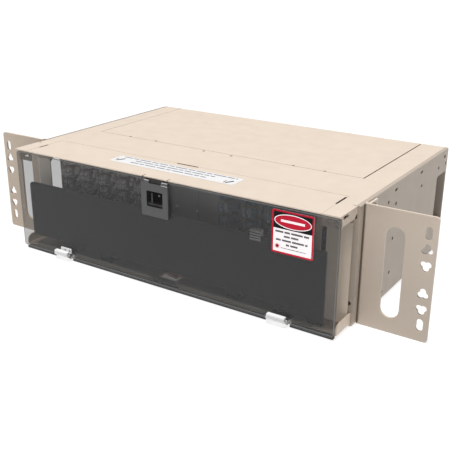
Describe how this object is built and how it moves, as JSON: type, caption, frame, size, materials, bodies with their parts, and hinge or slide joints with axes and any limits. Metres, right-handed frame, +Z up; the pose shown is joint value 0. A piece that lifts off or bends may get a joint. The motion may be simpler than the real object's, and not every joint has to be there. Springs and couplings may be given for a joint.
{
  "type": "rack-mount fibre termination shelf",
  "caption": "Beige steel fibre patch and splice shelf for a wide rack, with slotted ears, smoked drop-down door, latch and lift-off top covers.",
  "frame": {"origin": "centre of the bounding box's bottom face, on the surface the shelf stands on", "axes": "+X to the shelf's right seen from its front, +Y towards its rear, +Z up"},
  "size_m": [0.5842, 0.3084, 0.1294],
  "materials": {
    "beige_steel": "fine-textured beige powder coat",
    "dark_grey_plastic": "moulded dark grey",
    "black_plastic": "smooth black",
    "light_plastic": "off-white moulding",
    "grey_plastic": "mid grey moulding",
    "red_plastic": "dark red moulding",
    "liner": "dull black mat",
    "smoked_acrylic": "smoked transparent acrylic",
    "steel": "bright plated",
    "galvanised": "dull galvanised",
    "label_white": "printed film label",
    "label_red": "printed film label"
  },
  "bodies": {
    "chassis": {"base_pan": "beige_steel", "side_wall_left": "beige_steel", "side_wall_right": "beige_steel", "rear_panel": "beige_steel", "top_frame": "beige_steel", "bulkhead": "beige_steel", "adapter_plate_01": "dark_grey_plastic", "adapter_plate_02": "dark_grey_plastic", "adapter_plate_03": "dark_grey_plastic", "adapter_plate_04": "dark_grey_plastic", "adapter_plate_05": "dark_grey_plastic", "adapter_plate_06": "dark_grey_plastic", "adapter_plate_07": "dark_grey_plastic", "adapter_plate_08": "dark_grey_plastic", "adapter_plate_09": "dark_grey_plastic", "adapter_plate_10": "dark_grey_plastic", "adapter_plate_11": "dark_grey_plastic", "adapter_plate_12": "dark_grey_plastic", "front_floor": "beige_steel", "floor_liner": "liner", "floor_block": "red_plastic", "ear_left": "beige_steel", "ear_right": "beige_steel", "ear_screw_left_1": "steel", "ear_screw_left_2": "steel", "ear_screw_left_3": "steel", "ear_screw_left_4": "steel", "ear_screw_right_1": "steel", "ear_screw_right_2": "steel", "ear_screw_right_3": "steel", "ear_screw_right_4": "steel", "jumper_guide_left": "beige_steel", "jumper_guide_right": "beige_steel", "jumper_guard": "black_plastic", "guard_clip": "light_plastic", "hinge_leaf_left": "steel", "hinge_leaf_right": "steel", "hinge_pin_left": "steel", "hinge_pin_right": "steel", "splice_tray": "black_plastic", "spool_left": "black_plastic", "spool_right": "black_plastic", "cable_clamp_left": "galvanised", "cable_clamp_right": "galvanised"},
    "door": {"door": "smoked_acrylic", "hinge_clip_left": "light_plastic", "hinge_clip_right": "light_plastic", "latch_bezel": "grey_plastic", "hazard_label": "label_red"},
    "latch": {"latch_pad": "black_plastic", "latch_tongue": "grey_plastic"},
    "front_cover": {"front_top_cover": "beige_steel", "top_label": "label_white"},
    "rear_cover": {"rear_cover": "beige_steel", "rear_screw_left": "steel", "rear_screw_right": "steel"}
  },
  "joints": [
    {"name": "door_hinge", "type": "hinge", "parent": "chassis", "child": "door", "pos_m": [0, -0.1512, 0.0072], "axis": [1, 0, 0], "range_deg": [0, 90]},
    {"name": "latch_slide", "type": "slide", "parent": "door", "child": "latch", "axis": [0, 0, 1], "range_m": [-0.004, 0], "stiffness_N_per_m": 80, "springref_m": 0.004},
    {"name": "front_cover_lift", "type": "slide", "parent": "chassis", "child": "front_cover", "axis": [0, 0, 1], "range_m": [0, 0.08]},
    {"name": "rear_cover_lift", "type": "slide", "parent": "chassis", "child": "rear_cover", "axis": [0, 0, 1], "range_m": [0, 0.13]}
  ]
}
